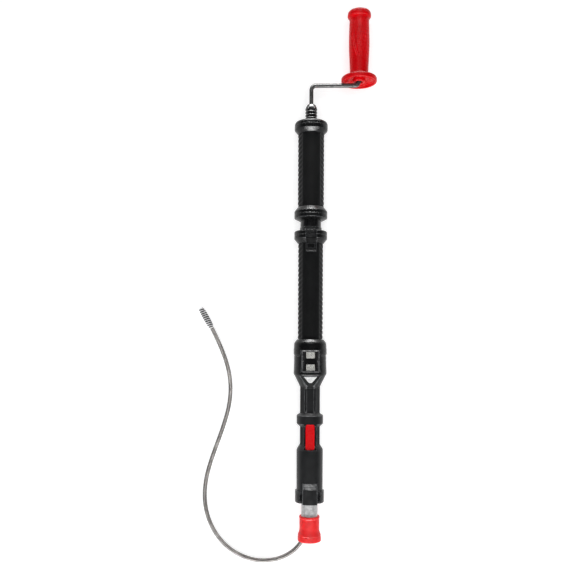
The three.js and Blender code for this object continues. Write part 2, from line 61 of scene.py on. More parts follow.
# The free cable's centre line in the row frame, in millimetres, from the exit bush to the bulb.
CABLE_ROUTE = [
    (-37.7, -372, 25.6), (-38.4, -382, 25.4), (-40.6, -392, 24.7), (-44.2, -402, 23.5),
    (-48.2, -410, 22), (-54.8, -420.2, 19), (-65.6, -431.6, 14.4), (-82.8, -442.3, 8.4),
    (-101.5, -447.3, 4.6), (-120.6, -447.4, 3.4), (-139, -442.7, 3.3), (-156, -434.3, 3.3),
    (-170.9, -422.5, 3.3), (-183.2, -408, 3.3), (-192.5, -391.4, 3.3), (-198.9, -373.6, 3.3),
    (-202.2, -354.9, 3.3), (-202.3, -335.9, 3.3), (-199.9, -317, 3.3), (-195.3, -298.6, 3.3),
    (-189.5, -280.5, 3.3), (-183.1, -262.6, 3.3), (-176.7, -244.7, 3.3), (-170.9, -226.6, 3.3),
    (-166, -208.3, 3.3), (-163.2, -189.5, 3.3), (-162.8, -170.5, 3.3), (-165.1, -151.6, 3.4),
    (-169.8, -133.2, 3.8), (-176.4, -115.3, 4.6), (-184.1, -97.6, 5.4), (-192.2, -80.8, 5.8),
]
TIP_BASE = Vector((-192.4, -80.4, 5.8)) * MM
TIP_HEADING = math.radians(30)


# ---- Camera ----

def make_camera():
    eye_above_axis = 1.048
    eye_offset = Vector((-0.0367, -0.1054))
    view_width = 0.888
    data = bpy.data.cameras.new("camera")
    data.sensor_width = 36
    data.lens = data.sensor_width * eye_above_axis / view_width
    data.shift_y = 0.100
    data.clip_end = 20
    camera = add_object("camera", data)
    camera.location = (AXIS_X + eye_offset.x, eye_offset.y, AXIS_Z + eye_above_axis)
    camera.rotation_euler = (0, 0, math.radians(0.281))
    bpy.context.scene.camera = camera


# ---- Node materials ----

class Surface:
    """A node material whose colour, roughness and relief come from patterns in the object's space."""

    def __init__(self, name, metallic=0.0, coat=0.0, coat_roughness=0.2, specular=0.5):
        self.material = bpy.data.materials.new(name)
        self.material.use_nodes = True
        self.tree = self.material.node_tree
        self.shader = self.tree.nodes["Principled BSDF"]
        self.place = self.node("ShaderNodeTexCoord", "Object", {})
        self.relief = None
        self.set("Metallic", metallic)
        self.set("Coat Weight", coat)
        self.set("Coat Roughness", coat_roughness)
        self.set("Specular IOR Level", specular)

    def feed(self, socket, value):
        """Joins a socket to another node's output, or sets it to a plain value."""
        if isinstance(value, bpy.types.NodeSocket):
            self.tree.links.new(value, socket)
        else:
            socket.default_value = value

    def set(self, name, value):
        self.feed(self.shader.inputs[name], value)

    def node(self, kind, output, inputs, **settings):
        """Makes a node, fills in its settings and inputs, and gives back one of its outputs."""
        made = self.tree.nodes.new(kind)
        for key, value in settings.items():
            setattr(made, key, value)
        for name, value in inputs.items():
            self.feed(made.inputs[name], value)
        return made.outputs[output]

    def noise(self, size, detail=3.0, stretch=None):
        """Soft cloudy values from 0 to 1; size is in metres."""
        place = self.place
        if stretch:
            place = self.node("ShaderNodeMapping", "Vector", {"Scale": stretch, "Vector": place})
        return self.node("ShaderNodeTexNoise", "Fac", {"Scale": 1 / size, "Detail": detail, "Vector": place})

    def cells(self, size, output="Distance"):
        """A pattern of small cells; size is in metres."""
        return self.node("ShaderNodeTexVoronoi", output, {"Scale": 1 / size, "Vector": self.place})

    def edges(self, cover):
        """0 on flats and up to 1 on outer edges, broken up by clouds of that size; it places the paler edge
        tint, partly wear and partly a painted edge highlight.
        """
        edge = self.node("ShaderNodeAttribute", "Fac", {}, attribute_name="edge")
        return self.math("MULTIPLY", edge, self.between(self.noise(cover), 0.35, 0.6, 0.35, 1))

    def between(self, source, low, high, to_low, to_high):
        """Moves the values from low to high onto those from to_low to to_high."""
        inputs = {"From Min": low, "From Max": high, "To Min": to_low, "To Max": to_high, "Value": source}
        return self.node("ShaderNodeMapRange", "Result", inputs)

    def math(self, operation, first, second):
        return self.node("ShaderNodeMath", 0, {0: first, 1: second}, operation=operation)

    def ramp(self, source, stops):
        made = self.tree.nodes.new("ShaderNodeValToRGB")
        elements = made.color_ramp.elements
        while len(elements) < len(stops):
            elements.new(0.5)
        for element, (position, colour) in zip(elements, stops):
            element.position = position
            element.color = (*colour, 1)
        self.feed(made.inputs["Fac"], source)
        return made.outputs["Color"]

    def mix(self, share, base, tint):
        """The base colour with a share of a plain tint over it."""
        return self.node("ShaderNodeMix", 2, {0: share, 6: base, 7: (*tint, 1)}, data_type="RGBA")

    def colour(self, source):
        self.set("Base Color", source)

    def roughness(self, source, low, high):
        self.set("Roughness", self.between(source, 0.3, 0.7, low, high))

    def bump(self, source, depth, strength):
        """Relief of a depth in metres, added to any relief before it."""
        inputs = {"Distance": depth, "Strength": strength, "Height": source}
        if self.relief is not None:
            inputs["Normal"] = self.relief
        self.relief = self.node("ShaderNodeBump", "Normal", inputs)
        self.set("Normal", self.relief)


def moulded(name, clouds, shades, rough, edge=None, dust=None, cells=None, grain=None, **settings):
    """Cloudy colour between two shades, with dust, paler outer edges (partly wear, partly a painted edge
    highlight), and coarse and fine relief.
    """
    surface = Surface(name, **settings)
    colour = surface.ramp(surface.noise(*clouds), [(0.3, shades[0]), (0.7, shades[1])])
    if dust:
        size, start, share, tint = dust
        specks = surface.between(surface.noise(size, 6), start, 0.85, 0, share)
        colour = surface.mix(specks, colour, tint)
    # The paler tint on outer edges is partly wear and partly a painted edge highlight.
    if edge:
        cover, tint = edge
        colour = surface.mix(surface.edges(cover), colour, tint)
    surface.colour(colour)
    size, detail, low, high = rough
    surface.roughness(surface.noise(size, detail), low, high)
    if cells:
        size, depth, strength = cells
        surface.bump(surface.cells(size), depth, strength)
    if grain:
        size, detail, depth, strength = grain
        surface.bump(surface.noise(size, detail), depth, strength)
    return surface.material


def stippled(name, fleck, stops, rough, cell, depth):
    """Flecks of several shades over deep round stipples."""
    surface = Surface(name)
    flecks = surface.noise(fleck, 4)
    surface.colour(surface.ramp(flecks, stops))
    surface.roughness(flecks, *rough)
    surface.bump(surface.cells(cell), depth, 0.8)
    return surface.material


def tube_black():
    surface = Surface("satin_black_tube", specular=0.45)
    streaks = surface.noise(0.001, 4, (1, 0.02, 1))
    worn = surface.noise(0.012, 6, (1, 0.15, 1))
    base = surface.ramp(worn, [(0.4, (0.003, 0.003, 0.0034)), (0.75, (0.009, 0.009, 0.0098))])
    surface.colour(surface.mix(surface.between(streaks, 0.55, 0.8, 0, 0.5), base, (0.022, 0.022, 0.024)))
    surface.roughness(streaks, 0.2, 0.34)
    surface.bump(streaks, 0.00002, 0.5)
    return surface.material


def steel():
    surface = Surface("satin_steel", metallic=1.0)
    streaks = surface.noise(0.0008, 5, (1, 0.1, 1))
    stain = surface.noise(0.015, 5)
    base = surface.ramp(streaks, [(0.3, (0.34, 0.34, 0.345)), (0.7, (0.52, 0.52, 0.525))])
    surface.colour(surface.mix(surface.between(stain, 0.5, 0.8, 0, 0.6), base, (0.22, 0.205, 0.19)))
    surface.roughness(stain, 0.24, 0.42)
    surface.bump(streaks, 0.00002, 0.5)
    return surface.material


def cable_steel():
    surface = Surface("wound_steel_wire", metallic=0.5)
    stain = surface.noise(0.012, 6)
    drawn = surface.noise(0.0006, 4)
    stops = [(0.3, (0.1, 0.093, 0.088)), (0.55, (0.17, 0.16, 0.152)), (0.75, (0.28, 0.27, 0.26))]
    spots = surface.between(drawn, 0.5, 0.8, 0, 0.4)
    surface.colour(surface.mix(spots, surface.ramp(stain, stops), (0.1, 0.085, 0.07)))
    surface.roughness(stain, 0.3, 0.48)
    surface.bump(drawn, 0.00003, 0.5)
    return surface.material


def zinc_tube():
    surface = Surface("mottled_zinc", metallic=0.3)
    crystals = surface.node("ShaderNodeSeparateColor", 0, {0: surface.cells(0.0036, "Color")})
    fine = surface.noise(0.0016, 6)
    shares = surface.math("MULTIPLY", crystals, 0.3), surface.math("MULTIPLY", fine, 0.72)
    blend = surface.math("ADD", *shares)
    stops = [(0.28, (0.42, 0.42, 0.422)), (0.5, (0.51, 0.51, 0.513)), (0.72, (0.62, 0.62, 0.625))]
    surface.colour(surface.ramp(blend, stops))
    surface.roughness(blend, 0.32, 0.5)
    surface.bump(fine, 0.00004, 0.5)
    return surface.material


def bright_core():
    surface = Surface("bright_turned_core", metallic=0.15)
    turned = surface.noise(0.0005, 4, (1, 0.2, 1))
    surface.colour(surface.ramp(turned, [(0.3, (0.78, 0.78, 0.78)), (0.7, (0.96, 0.96, 0.96))]))
    surface.roughness(surface.noise(0.002, 4), 0.3, 0.45)
    surface.bump(turned, 0.00003, 0.5)
    return surface.material


# Each edge=(cover, tint) pales the outer edges: partly wear, partly a painted edge highlight.
LOOKS = {
    "black_plastic": moulded(
        "moulded_black_plastic",
        clouds=(0.03, 3),
        shades=((0.0024, 0.0026, 0.0029), (0.0046, 0.005, 0.0054)),
        edge=(0.004, (0.05, 0.052, 0.055)),
        rough=(0.008, 5, 0.24, 0.33),
        cells=(0.0007, 0.00004, 0.5),
        grain=(0.0004, 2, 0.00002, 0.5),
        specular=0.24,
    ),
    "satin_black": moulded(
        "satin_black_housing",
        clouds=(0.025, 4),
        shades=((0.0062, 0.0067, 0.0074), (0.0105, 0.0111, 0.012)),
        edge=(0.006, (0.13, 0.134, 0.14)),
        rough=(0.008, 5, 0.32, 0.44),
        cells=(0.0006, 0.00005, 0.6),
        grain=(0.0004, 2, 0.00003, 0.5),
        specular=0.27,
    ),
    "trim_black": moulded(
        "window_trim_black",
        clouds=(0.006, 4),
        shades=((0.012, 0.0125, 0.013), (0.026, 0.027, 0.028)),
        edge=(0.002, (0.16, 0.163, 0.168)),
        rough=(0.002, 5, 0.22, 0.36),
        grain=(0.0006, 3, 0.00003, 0.5),
    ),
    "gloss_black": moulded(
        "gloss_black_nylon",
        clouds=(0.01, 3),
        shades=((0.0022, 0.0022, 0.0025), (0.005, 0.005, 0.0056)),
        edge=(0.002, (0.03, 0.03, 0.032)),
        rough=(0.002, 5, 0.14, 0.24),
        grain=(0.0009, 3, 0.00003, 0.4),
        coat=0.2,
        coat_roughness=0.08,
    ),
    "tube_black": tube_black(),
    "black_rubber": moulded(
        "overmoulded_black_rubber",
        clouds=(0.02, 3),
        shades=((0.0022, 0.0025, 0.0028), (0.0044, 0.0048, 0.0052)),
        dust=(0.004, 0.58, 0.3, (0.016, 0.016, 0.016)),
        edge=(0.003, (0.022, 0.023, 0.024)),
        rough=(0.003, 5, 0.4, 0.54),
        cells=(0.0005, 0.00005, 0.5),
        grain=(0.0015, 4, 0.00005, 0.4),
        specular=0.13,
    ),
    "red_plastic": moulded(
        "semi_matte_red_plastic",
        clouds=(0.02, 4),
        shades=((0.68, 0.0006, 0.003), (0.78, 0.0015, 0.006)),
        edge=(0.003, (0.84, 0.004, 0.010)),
        rough=(0.003, 5, 0.24, 0.34),
        cells=(0.0006, 0.00004, 0.5),
        specular=0.1,
    ),
    "red_rubber": moulded(
        "bright_red_rubber",
        clouds=(0.009, 5),
        shades=((0.88, 0.01, 0.012), (0.98, 0.02, 0.022)),
        dust=(0.0025, 0.6, 0.4, (0.9, 0.075, 0.07)),
        edge=(0.004, (0.92, 0.035, 0.032)),
        rough=(0.003, 4, 0.36, 0.5),
        cells=(0.0007, 0.00006, 0.5),
        specular=0.27,
    ),
    "grey_pad": stippled(
        "stippled_grey_pad",
        fleck=0.0011,
        stops=[(0.34, (0.18, 0.178, 0.168)), (0.52, (0.46, 0.458, 0.43)), (0.68, (0.9, 0.895, 0.85))],
        rough=(0.35, 0.5),
        cell=0.0009,
        depth=0.00025,
    ),
    "white_plastic": stippled(
        "stippled_white_nylon",
        fleck=0.0013,
        stops=[(0.32, (0.46, 0.465, 0.47)), (0.5, (0.8, 0.8, 0.8)), (0.68, (0.95, 0.95, 0.95))],
        rough=(0.3, 0.45),
        cell=0.0011,
        depth=0.0003,
    ),
    "nylon": moulded(
        "off_white_nylon",
        clouds=(0.006, 3),
        shades=((0.6, 0.585, 0.54), (0.76, 0.75, 0.71)),
        rough=(0.002, 4, 0.4, 0.55),
        grain=(0.0008, 3, 0.00004, 0.5),
        specular=0.45,
    ),
    "steel": steel(),
    "cable_steel": cable_steel(),
    "zinc_tube": zinc_tube(),
    "black_steel": moulded(
        "black_oxide_steel",
        clouds=(0.01, 5),
        shades=((0.02, 0.02, 0.0195), (0.037, 0.037, 0.036)),
        edge=(0.003, (0.11, 0.11, 0.109)),
        rough=(0.002, 5, 0.26, 0.38),
        grain=(0.0007, 4, 0.00003, 0.5),
        metallic=0.35,
        specular=0.15,
    ),
    "bulb_wire": moulded(
        "dark_bulb_wire",
        clouds=(0.004, 5),
        shades=((0.003, 0.0028, 0.0028), (0.009, 0.0084, 0.008)),
        rough=(0.001, 4, 0.24, 0.36),
        grain=(0.0005, 3, 0.00003, 0.5),
        metallic=0.1,
        specular=0.3,
    ),
    "bright_core": bright_core(),
}


# ---- Mesh tools ----

def place(x, station, height):
    return Vector((AXIS_X + x * MM, MOUTH_Y + station * MM, AXIS_Z + height * MM))


def circle(count):
    """Angles once round, in radians."""
    return [2 * math.pi * k / count for k in range(count)]


def middle_of(node):
    """The middle of a node's box, as (x, station, height) in millimetres."""
    low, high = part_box(node)
    return (low + high) / 2 / MM - Vector((AXIS_X, MOUTH_Y, AXIS_Z)) / MM


def half_size(node):
    """Half a node's size in x and along the tool, in millimetres."""
    low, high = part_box(node)
    return (high.x - low.x) / 2 / MM, (high.y - low.y) / 2 / MM


def disc(x, station, radius, height, count):
    """Points round a circle that faces the front, at that height."""
    return [place(x + radius * math.cos(a), station + radius * math.sin(a), height) for a in circle(count)]


def add_object(name, data):
    made = bpy.data.objects.new(name, data)
    bpy.context.scene.collection.objects.link(made)
    return made


def loft(name, rings, looped=False):
    """A closed mesh through rings of points; looped joins the last ring to the first."""
    count = len(rings[0])
    faces = []
    for i in range(len(rings) if looped else len(rings) - 1):
        here = i * count
        after = (i + 1) % len(rings) * count
        for j in range(count):
            k = (j + 1) % count
            faces.append((here + j, here + k, after + k, after + j))
    if not looped:
        last = (len(rings) - 1) * count
        faces.append(tuple(reversed(range(count))))
        faces.append(tuple(range(last, last + count)))
    mesh = bpy.data.meshes.new(name)
    mesh.from_pydata([point for ring in rings for point in ring], [], faces)
    shape = bmesh.new()
    shape.from_mesh(mesh)
    bmesh.ops.recalc_face_normals(shape, faces=shape.faces)
    shape.to_mesh(mesh)
    shape.free()
    return mesh


def mark_edges(mesh):
    """Stores how sharply each point stands out, 0 on flats to 1 on crisp outer edges."""
    shape = bmesh.new()
    shape.from_mesh(mesh)
    values = []
    for vertex in shape.verts:
        bends = [edge.calc_face_angle_signed(0) for edge in vertex.link_edges]
        values.append(step(0.09, 0.24, max(bends, default=0)))
    shape.free()
    mesh.attributes.new("edge", "FLOAT", "POINT").data.foreach_set("value", values)


def piece(mesh, look, body, *nodes, crease=42):
    """An object of that mesh that rides on a body and stands for CAD nodes."""
    mark_edges(mesh)
    mesh.shade_smooth()
    mesh.set_sharp_from_angle(angle=math.radians(crease))
    mesh.materials.clear()
    mesh.materials.append(LOOKS[look])
    made = add_object(mesh.name, mesh)
    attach(made, body)
    if nodes:
        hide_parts(*nodes)
    return made


def fillet(corners, size=0.5, closed=True):
    """An outline through (across, along) corners, rounded by their own third value or by size."""
    outline = []
    steps = 4
    last = len(corners) - 1
    for i, corner in enumerate(corners):
        here = Vector(corner[:2])
        if not closed and i in (0, last):
            outline.append(here)
            continue
        before = Vector(corners[i - 1][:2]) - here
        after = Vector(corners[(i + 1) % len(corners)][:2]) - here
        reach = corner[2] if len(corner) > 2 else size
        start = here + before.normalized() * min(reach, 0.48 * before.length)
        end = here + after.normalized() * min(reach, 0.48 * after.length)
        for k in range(steps + 1):
            t = k / steps
            outline.append(start * (1 - t) ** 2 + here * (2 * t * (1 - t)) + end * t**2)
    return outline


def divided(outline, longest, marks=(), closed=True):
    """The outline with its long edges cut up, and a pair of points at each marked station."""
    ahead = outline[1:] + outline[:1] if closed else outline[1:]
    points = []
    for here, after in zip(outline, ahead):
        shares = {0.0}
        count = math.ceil((after - here).length / longest)
        shares.update(k / count for k in range(1, count))
        rise = after.y - here.y
        for mark in marks:
            for station in (mark - 0.06, mark + 0.06):
                if abs(rise) > 0.2 and 0.001 < (station - here.y) / rise < 0.999:
                    shares.add((station - here.y) / rise)
        points += [here.lerp(after, share) for share in sorted(shares)]
    if not closed:
        points.append(outline[-1])
    return points


def evenly(count, *extra):
    """Angles round the axis from the front, in radians, and extra ones in degrees on either side."""
    angles = {round(-math.pi + 2 * math.pi * i / count, 6) for i in range(count)}
    angles.update(round(sign * math.radians(degrees), 6) for degrees in extra for sign in (-1, 1))
    return sorted(angles)


def revolve(name, corners, shape=None, angles=None, looped=True, longest=400, marks=(), centre=(0, 0)):
    """A ring with a (radius, station) outline; shape may move each (radius, station, angle)."""
    outline = divided(fillet(corners), longest, marks)
    rings = []
    for angle in angles or evenly(96):
        ring = []
        for radius, station in outline:
            r, s, a = shape(radius, station, angle) if shape else (radius, station, angle)
            ring.append(place(centre[0] + r * math.sin(a), s, centre[1] + r * math.cos(a)))
        rings.append(ring)
    return loft(name, rings, looped)


def step(edge0, edge1, value):
    t = min(1, max(0, (value - edge0) / (edge1 - edge0)))
    return t * t * (3 - 2 * t)


def window(low, high, soft, value):
    """1 between low and high, falling to 0 over soft either side."""
    return step(low - soft, low + soft, value) * (1 - step(high - soft, high + soft, value))


def span(node):
    """A node's first and last station and its outer radius across the tool, in millimetres."""
    low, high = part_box(node)
    return (low.y - MOUTH_Y) / MM, (high.y - MOUTH_Y) / MM, (high.x - low.x) / 2 / MM


def turned(name, corners, look, body, node, crease=42, **how):
    """A revolved piece."""
    return piece(revolve(name, corners, **how), look, body, node, crease=crease)


def heading(path, i):
    """The direction of a path of points at its point i."""
    return (path[min(i + 1, len(path) - 1)] - path[max(i - 1, 0)]).normalized()


def straight_tube(name, node, radius, wall, rim, longest):
    """A tube between a node's first and last station; rim rounds its front end."""
    start, end, _ = span(node)
    bore = radius - wall
    corners = [(bore, start, 0.2), (radius, start, rim), (radius, end, 0.2), (bore, end, 0.2)]
    return revolve(name, corners, longest=longest)


# ---- Cable and its bulb ----

def through(points, spacing):
    """Evenly spaced points on a centripetal Catmull-Rom curve through the points."""
    ends = [points[0] * 2 - points[1], *points, points[-1] * 2 - points[-2]]
    fine = []
    for p0, p1, p2, p3 in zip(ends, ends[1:], ends[2:], ends[3:]):
        t0, t1, t2 = (math.sqrt((b - a).length) for a, b in ((p0, p1), (p1, p2), (p2, p3)))
        m1 = ((p1 - p0) / t0 - (p2 - p0) / (t0 + t1) + (p2 - p1) / t1) * t1
        m2 = ((p2 - p1) / t1 - (p3 - p1) / (t1 + t2) + (p3 - p2) / t2) * t1
        for k in range(24):
            t = k / 24
            c2 = (p2 - p1) * 3 - m1 * 2 - m2
            c3 = (p1 - p2) * 2 + m1 + m2
            fine.append(p1 + m1 * t + c2 * t**2 + c3 * t**3)
    fine.append(points[-1])
    lengths = [0.0]
    for a, b in zip(fine, fine[1:]):
        lengths.append(lengths[-1] + (b - a).length)
    count = round(lengths[-1] / spacing)
    even, i = [], 0
    for k in range(count + 1):
        wanted = lengths[-1] * k / count
        while i < len(fine) - 2 and lengths[i + 1] < wanted:
            i += 1
        share = (wanted - lengths[i]) / (lengths[i + 1] - lengths[i])
        even.append(fine[i].lerp(fine[i + 1], share))
    return even, lengths[-1]


def sweep(name, path, section):
    """A tube along a path; section(i) lists (radius, angle) round the path at its point i."""
    rings = []
    side = None
    for i, point in enumerate(path):
        ahead = heading(path, i)
        side = ahead.orthogonal() if side is None else side - ahead * side.dot(ahead)
        side.normalize()
        up = ahead.cross(side)
        rings.append([point + (side * math.cos(a) + up * math.sin(a)) * r for r, a in section(i)])
    return loft(name, rings)


def make_cable():
    """Close-wound spring wire: a tube whose surface is one long screw of round turns."""
    points = [Vector(point) * MM for point in CABLE_ROUTE]
    path, length = through(points, CABLE_STEP * MM)
    sides = 16

    def section(i):
        ring = []
        for j in range(sides):
            angle = 2 * math.pi * j / sides
            turn = i * CABLE_STEP / WIRE_PITCH - j / sides
            groove = (1 - abs(math.sin(math.pi * turn))) ** 2
            ring.append(((CABLE_RADIUS - WIRE_GROOVE * groove) * MM, angle))
        return ring

    wire = sweep("cable_wound_wire", path, section)
    cable = piece(wire, "cable_steel", "nose", "free_cable", crease=80)
    return cable, path[::20] + [path[-1]], length


BULB_LENGTH = 36
BULB_WIRE = 0.95


def bulb_radius(share):
    return 2.6 + 1.75 * math.sqrt(math.sin(math.pi * min(share, 1 - share)))


def make_bulb():
    """A dark open coil, fat in the middle, wound on a bright turned core ahead of the cable's end."""
    ahead = Vector((-math.sin(TIP_HEADING), math.cos(TIP_HEADING), 0))
    across = Vector((math.cos(TIP_HEADING), math.sin(TIP_HEADING), 0))

    def spot(along, radius, angle):
        turned = across * math.cos(angle) + Vector((0, 0, 1)) * math.sin(angle)
        return TIP_BASE + (ahead * along + turned * radius) * MM

    turns = 10
    steps = turns * 20
    inner_end, sunk = 0.7, 0.45
    run = BULB_LENGTH - 2 * BULB_WIRE
    path = []
    for i in range(steps + 1):
        share = i / steps
        path.append(spot(BULB_WIRE + run * share, bulb_radius(share), share * turns * 2 * math.pi))

    def section(i):
        thin = 1 - 0.5 * (1 - min(1, min(i, steps - i) / 6)) ** 2
        return [(BULB_WIRE * thin * MM, angle) for angle in circle(12)]

    coil = piece(sweep("bulb_coil", path, section), "bulb_wire", "tip", "bulb_tip", crease=60)
    rings = []
    for k in range(41):
        share = k / 40
        radius = bulb_radius(0.02 + 0.96 * share) - sunk
        along = inner_end + (BULB_LENGTH - 1.6) * share
        rings.append([spot(along, radius, angle) for angle in circle(32)])
    return coil, piece(loft("bulb_core", rings), "bright_core", "tip", "tip_core", crease=60)


# ---- Crank ----

def make_crank_rod():
    """A hexagon bar with two bends, its corners slightly rounded."""
    reach, _, rise = middle_of("crank_grip")
    arm, bend, flat = 704.7, 7, 6
    start, end = 650, 802
    plan = [(0, start), (0, start + 25)]
    for k in range(13):
        angle = math.pi - math.pi / 2 * k / 12
        plan.append((bend + bend * math.cos(angle), arm - bend + bend * math.sin(angle)))
    plan.append((reach / 2, arm))
    for k in range(13):
        angle = -math.pi / 2 + math.pi / 2 * k / 12
        plan.append((reach - bend + bend * math.cos(angle), arm + bend + bend * math.sin(angle)))
    plan += [(reach, end - 40), (reach, end)]
    path = [place(x, station, rise * x / reach) for x, station in plan]
    corner = flat / math.sqrt(3)
    section = []
    for k in range(6):
        for turn, share in ((-7, 0.965), (0, 0.975), (7, 0.965)):
            section.append((corner * share * MM, math.radians(60 * k + turn)))
    rings = []
    flat_up = Vector((0, 0, 1))
    for i, point in enumerate(path):
        side = heading(path, i).cross(flat_up).normalized()
        up = side.cross(heading(path, i))
        rings.append([point + (up * math.cos(a) + side * math.sin(a)) * r for r, a in section])
    piece(loft("crank_hex_rod", rings), "black_steel", "crank", "crank_rod", crease=24)


def grip_relief(radius, station, angle):
    """Fine finger ribs on the front and back, framed by two curved leaf grooves, and a ribbed dish."""
    rib_pitch, rib_depth = 3.0, 0.2
    leaf_top, leaf_length, leaf_gap = 783, 38, 9
    groove_width, groove_depth = 0.7, 0.75
    flutes, flute_depth = 24, 1.3
    if 718 < station < 806 and radius > 12:
        front = math.degrees(math.atan2(math.sin(angle), math.cos(angle)))
        if abs(front) > 90:
            front = (front + 360) % 360 - 180
        lean = 0.39 * (station - 766)
        ribbed = window(743, 789, 3, station) * window(-14, 62, 9, front + lean)
        rib = 0.5 - 0.5 * math.cos(2 * math.pi * station / rib_pitch)
        radius -= rib_depth * ribbed * rib
        fall = (leaf_top - station) / leaf_length
        if -0.1 < fall < 1.1:
            for offset in (0, leaf_gap):
                line = -50 + offset + 34 * max(0, fall) ** 1.5
                away = (front - line) * math.pi / 180 * radius
                groove = math.exp(-((away / groove_width) ** 2)) * window(0.02, 0.95, 0.07, fall)
                radius -= groove_depth * groove
    if station < 716.4 and 10.3 < radius < 24.2:
        spokes = max(0, math.cos(flutes * angle)) ** 0.6
        station -= flute_depth * window(16.6, 22.8, 0.6, radius) * spokes
        station += 0.8 * math.exp(-(((radius - 13.6) / 0.8) ** 2))
    return radius, station, angle


def make_crank_grip():
    x, _, height = middle_of("crank_grip")
    corners = [
        (3.9, 714.6, 0.2), (6, 714.6, 0.2), (6, 709.4, 0.3), (8.6, 709.4, 0.5), (9.6, 710.6, 0.6),
        (10.2, 714.4, 0.6), (23.4, 712.4, 0.8), (24.6, 709.6, 0.6), (26.7, 709.2, 0.6),
        (27.5, 710.4, 0.8), (27.5, 714.8, 0.9), (26.2, 716.4, 0.9), (15.6, 719.2, 1.6),
        (14.1, 721.8, 2.0), (14.9, 741, 9), (15.7, 757, 7), (16, 770, 7), (15.7, 788, 8),
        (15.1, 804.5, 2.5), (15.8, 807.4, 1.2), (17.9, 809.6, 1.2), (18.2, 812.5, 1.3),
        (17.7, 816, 1.5), (15.7, 818.2, 1.0), (10.8, 818.2, 0.3), (10.8, 816.3, 0.2),
        (7.6, 816.3, 0.2), (7.6, 796, 0.2), (3.9, 796, 0.2),
    ]
    turned("crank_grip_moulding", corners, "red_plastic", "hand_grip", "crank_grip", crease=50,
           shape=grip_relief, angles=evenly(168), longest=0.55, centre=(x, height))
    cap = [
        (0, 808.6), (7.2, 808.6), (7.2, 816.7), (10.4, 816.7), (10.4, 818.5, 0.8), (6.4, 819.6, 2),
        (1.2, 820),
    ]
    rings = []
    for radius, station in fillet(cap, 0.3, closed=False)[1:]:
        ring = [place(x + radius * math.sin(a), station, height + radius * math.cos(a)) for a in evenly(64)]
        rings.append(ring)
    piece(loft("crank_grip_domed_cap", rings), "red_plastic", "hand_grip", "crank_grip_end_cap")


def make_coupler():
    """A sleeve with five raised rings under a sloping nose."""
    corners = [(4.1, 675, 0.3), (5.6, 675, 0.5), (6.9, 673.8, 0.7), (8.7, 670, 0.5)]
    for i in range(5):
        top = 668.3 - i * 4.75
        corners += [(9.1, top, 0.5), (9.4, top - 0.9, 0.6), (9.3, top - 2.1, 0.6), (7.7, top - 3.3, 0.5)]
    corners[-1] = (8.5, 646.9, 0.2)
    corners += [(6.9, 646.9, 0.2), (6.9, 673.3, 0.2), (4.1, 673.3, 0.2)]
    turned("coupler_ribbed_sleeve", corners, "gloss_black", "release_sleeve", "coupler_sleeve")


# ---- Handles ----

STRIP_EDGE = 47
BEAD_PITCH = 7.4


def knurled(depth, inner):
    """Slanted scale-like beads on both flanks, and a smooth strip down the front and the back."""
    def shape(radius, station, angle):
        if radius < inner:
            return radius, station, angle
        away = abs(math.degrees(angle))
        flank = window(STRIP_EDGE, 180 - STRIP_EDGE, 6, away)
        slant = abs(90 - away) / 90
        phase = (station - 11 * slant) / BEAD_PITCH
        bead = abs(math.sin(math.pi * phase)) ** 0.7
        rim = sum(math.exp(-(((away - edge) / 3.2) ** 2)) for edge in (STRIP_EDGE, 180 - STRIP_EDGE))
        across = 0.75 + 0.25 * math.cos(math.radians((away - 90) * 4))
        return radius - flank * depth * (1 - bead * across) - 0.05 * rim, station, angle
    return shape


def make_upper_grip():
    start, end, radius = span("upper_grip")
    corners = [(18.3, start, 0.2), (radius, start, 0.7), (radius, end, 0.7), (18.3, end, 0.2)]
    turned("upper_grip_sleeve", corners, "black_rubber", "upper_handle", "upper_grip", crease=55,
           shape=knurled(1.4, 19), angles=evenly(180), longest=0.8)


def make_flanges():
    top = [
        (18.3, 628.5, 0.2), (20, 628.5, 0.5), (25.3, 634.4, 0.6), (25.6, 636, 0.7), (25.6, 640.2, 0.3),
        (25.2, 640.6, 0.2), (25.2, 641.1, 0.2), (25.5, 641.5, 0.3), (25.4, 644, 0.8), (24, 646.4, 1.0),
        (20.4, 647.4, 1.0), (10.9, 647.4, 0.6), (10.4, 646.4, 0.3), (9.7, 646.4, 0.3),
        (7.4, 646.4, 0.3), (7.4, 640.6, 0.2), (18.3, 640.6, 0.2),
    ]
    turned("upper_handle_top_ring", top, "black_plastic", "upper_handle", "upper_top_flange")
    bottom = [
        (16.3, 495.2, 0.2), (19, 495.2, 0.6), (25.5, 498.4, 0.8), (25.5, 503.4, 0.3),
        (25.1, 503.8, 0.2), (25.1, 504.3, 0.2), (25.5, 504.7, 0.3), (25.5, 509, 0.8), (19.9, 516, 0.6),
        (18.3, 516, 0.2), (18.3, 512.8, 0.2), (16.3, 512.8, 0.2),
    ]
    turned("upper_handle_bottom_ring", bottom, "black_plastic", "upper_handle", "upper_bottom_flange")


def make_telescope_tube():
    mesh = straight_tube("telescope_inner_tube", "telescope_tube", radius=16, wall=1.8, rim=0.5, longest=8)
    piece(mesh, "tube_black", "upper_handle", "telescope_tube")


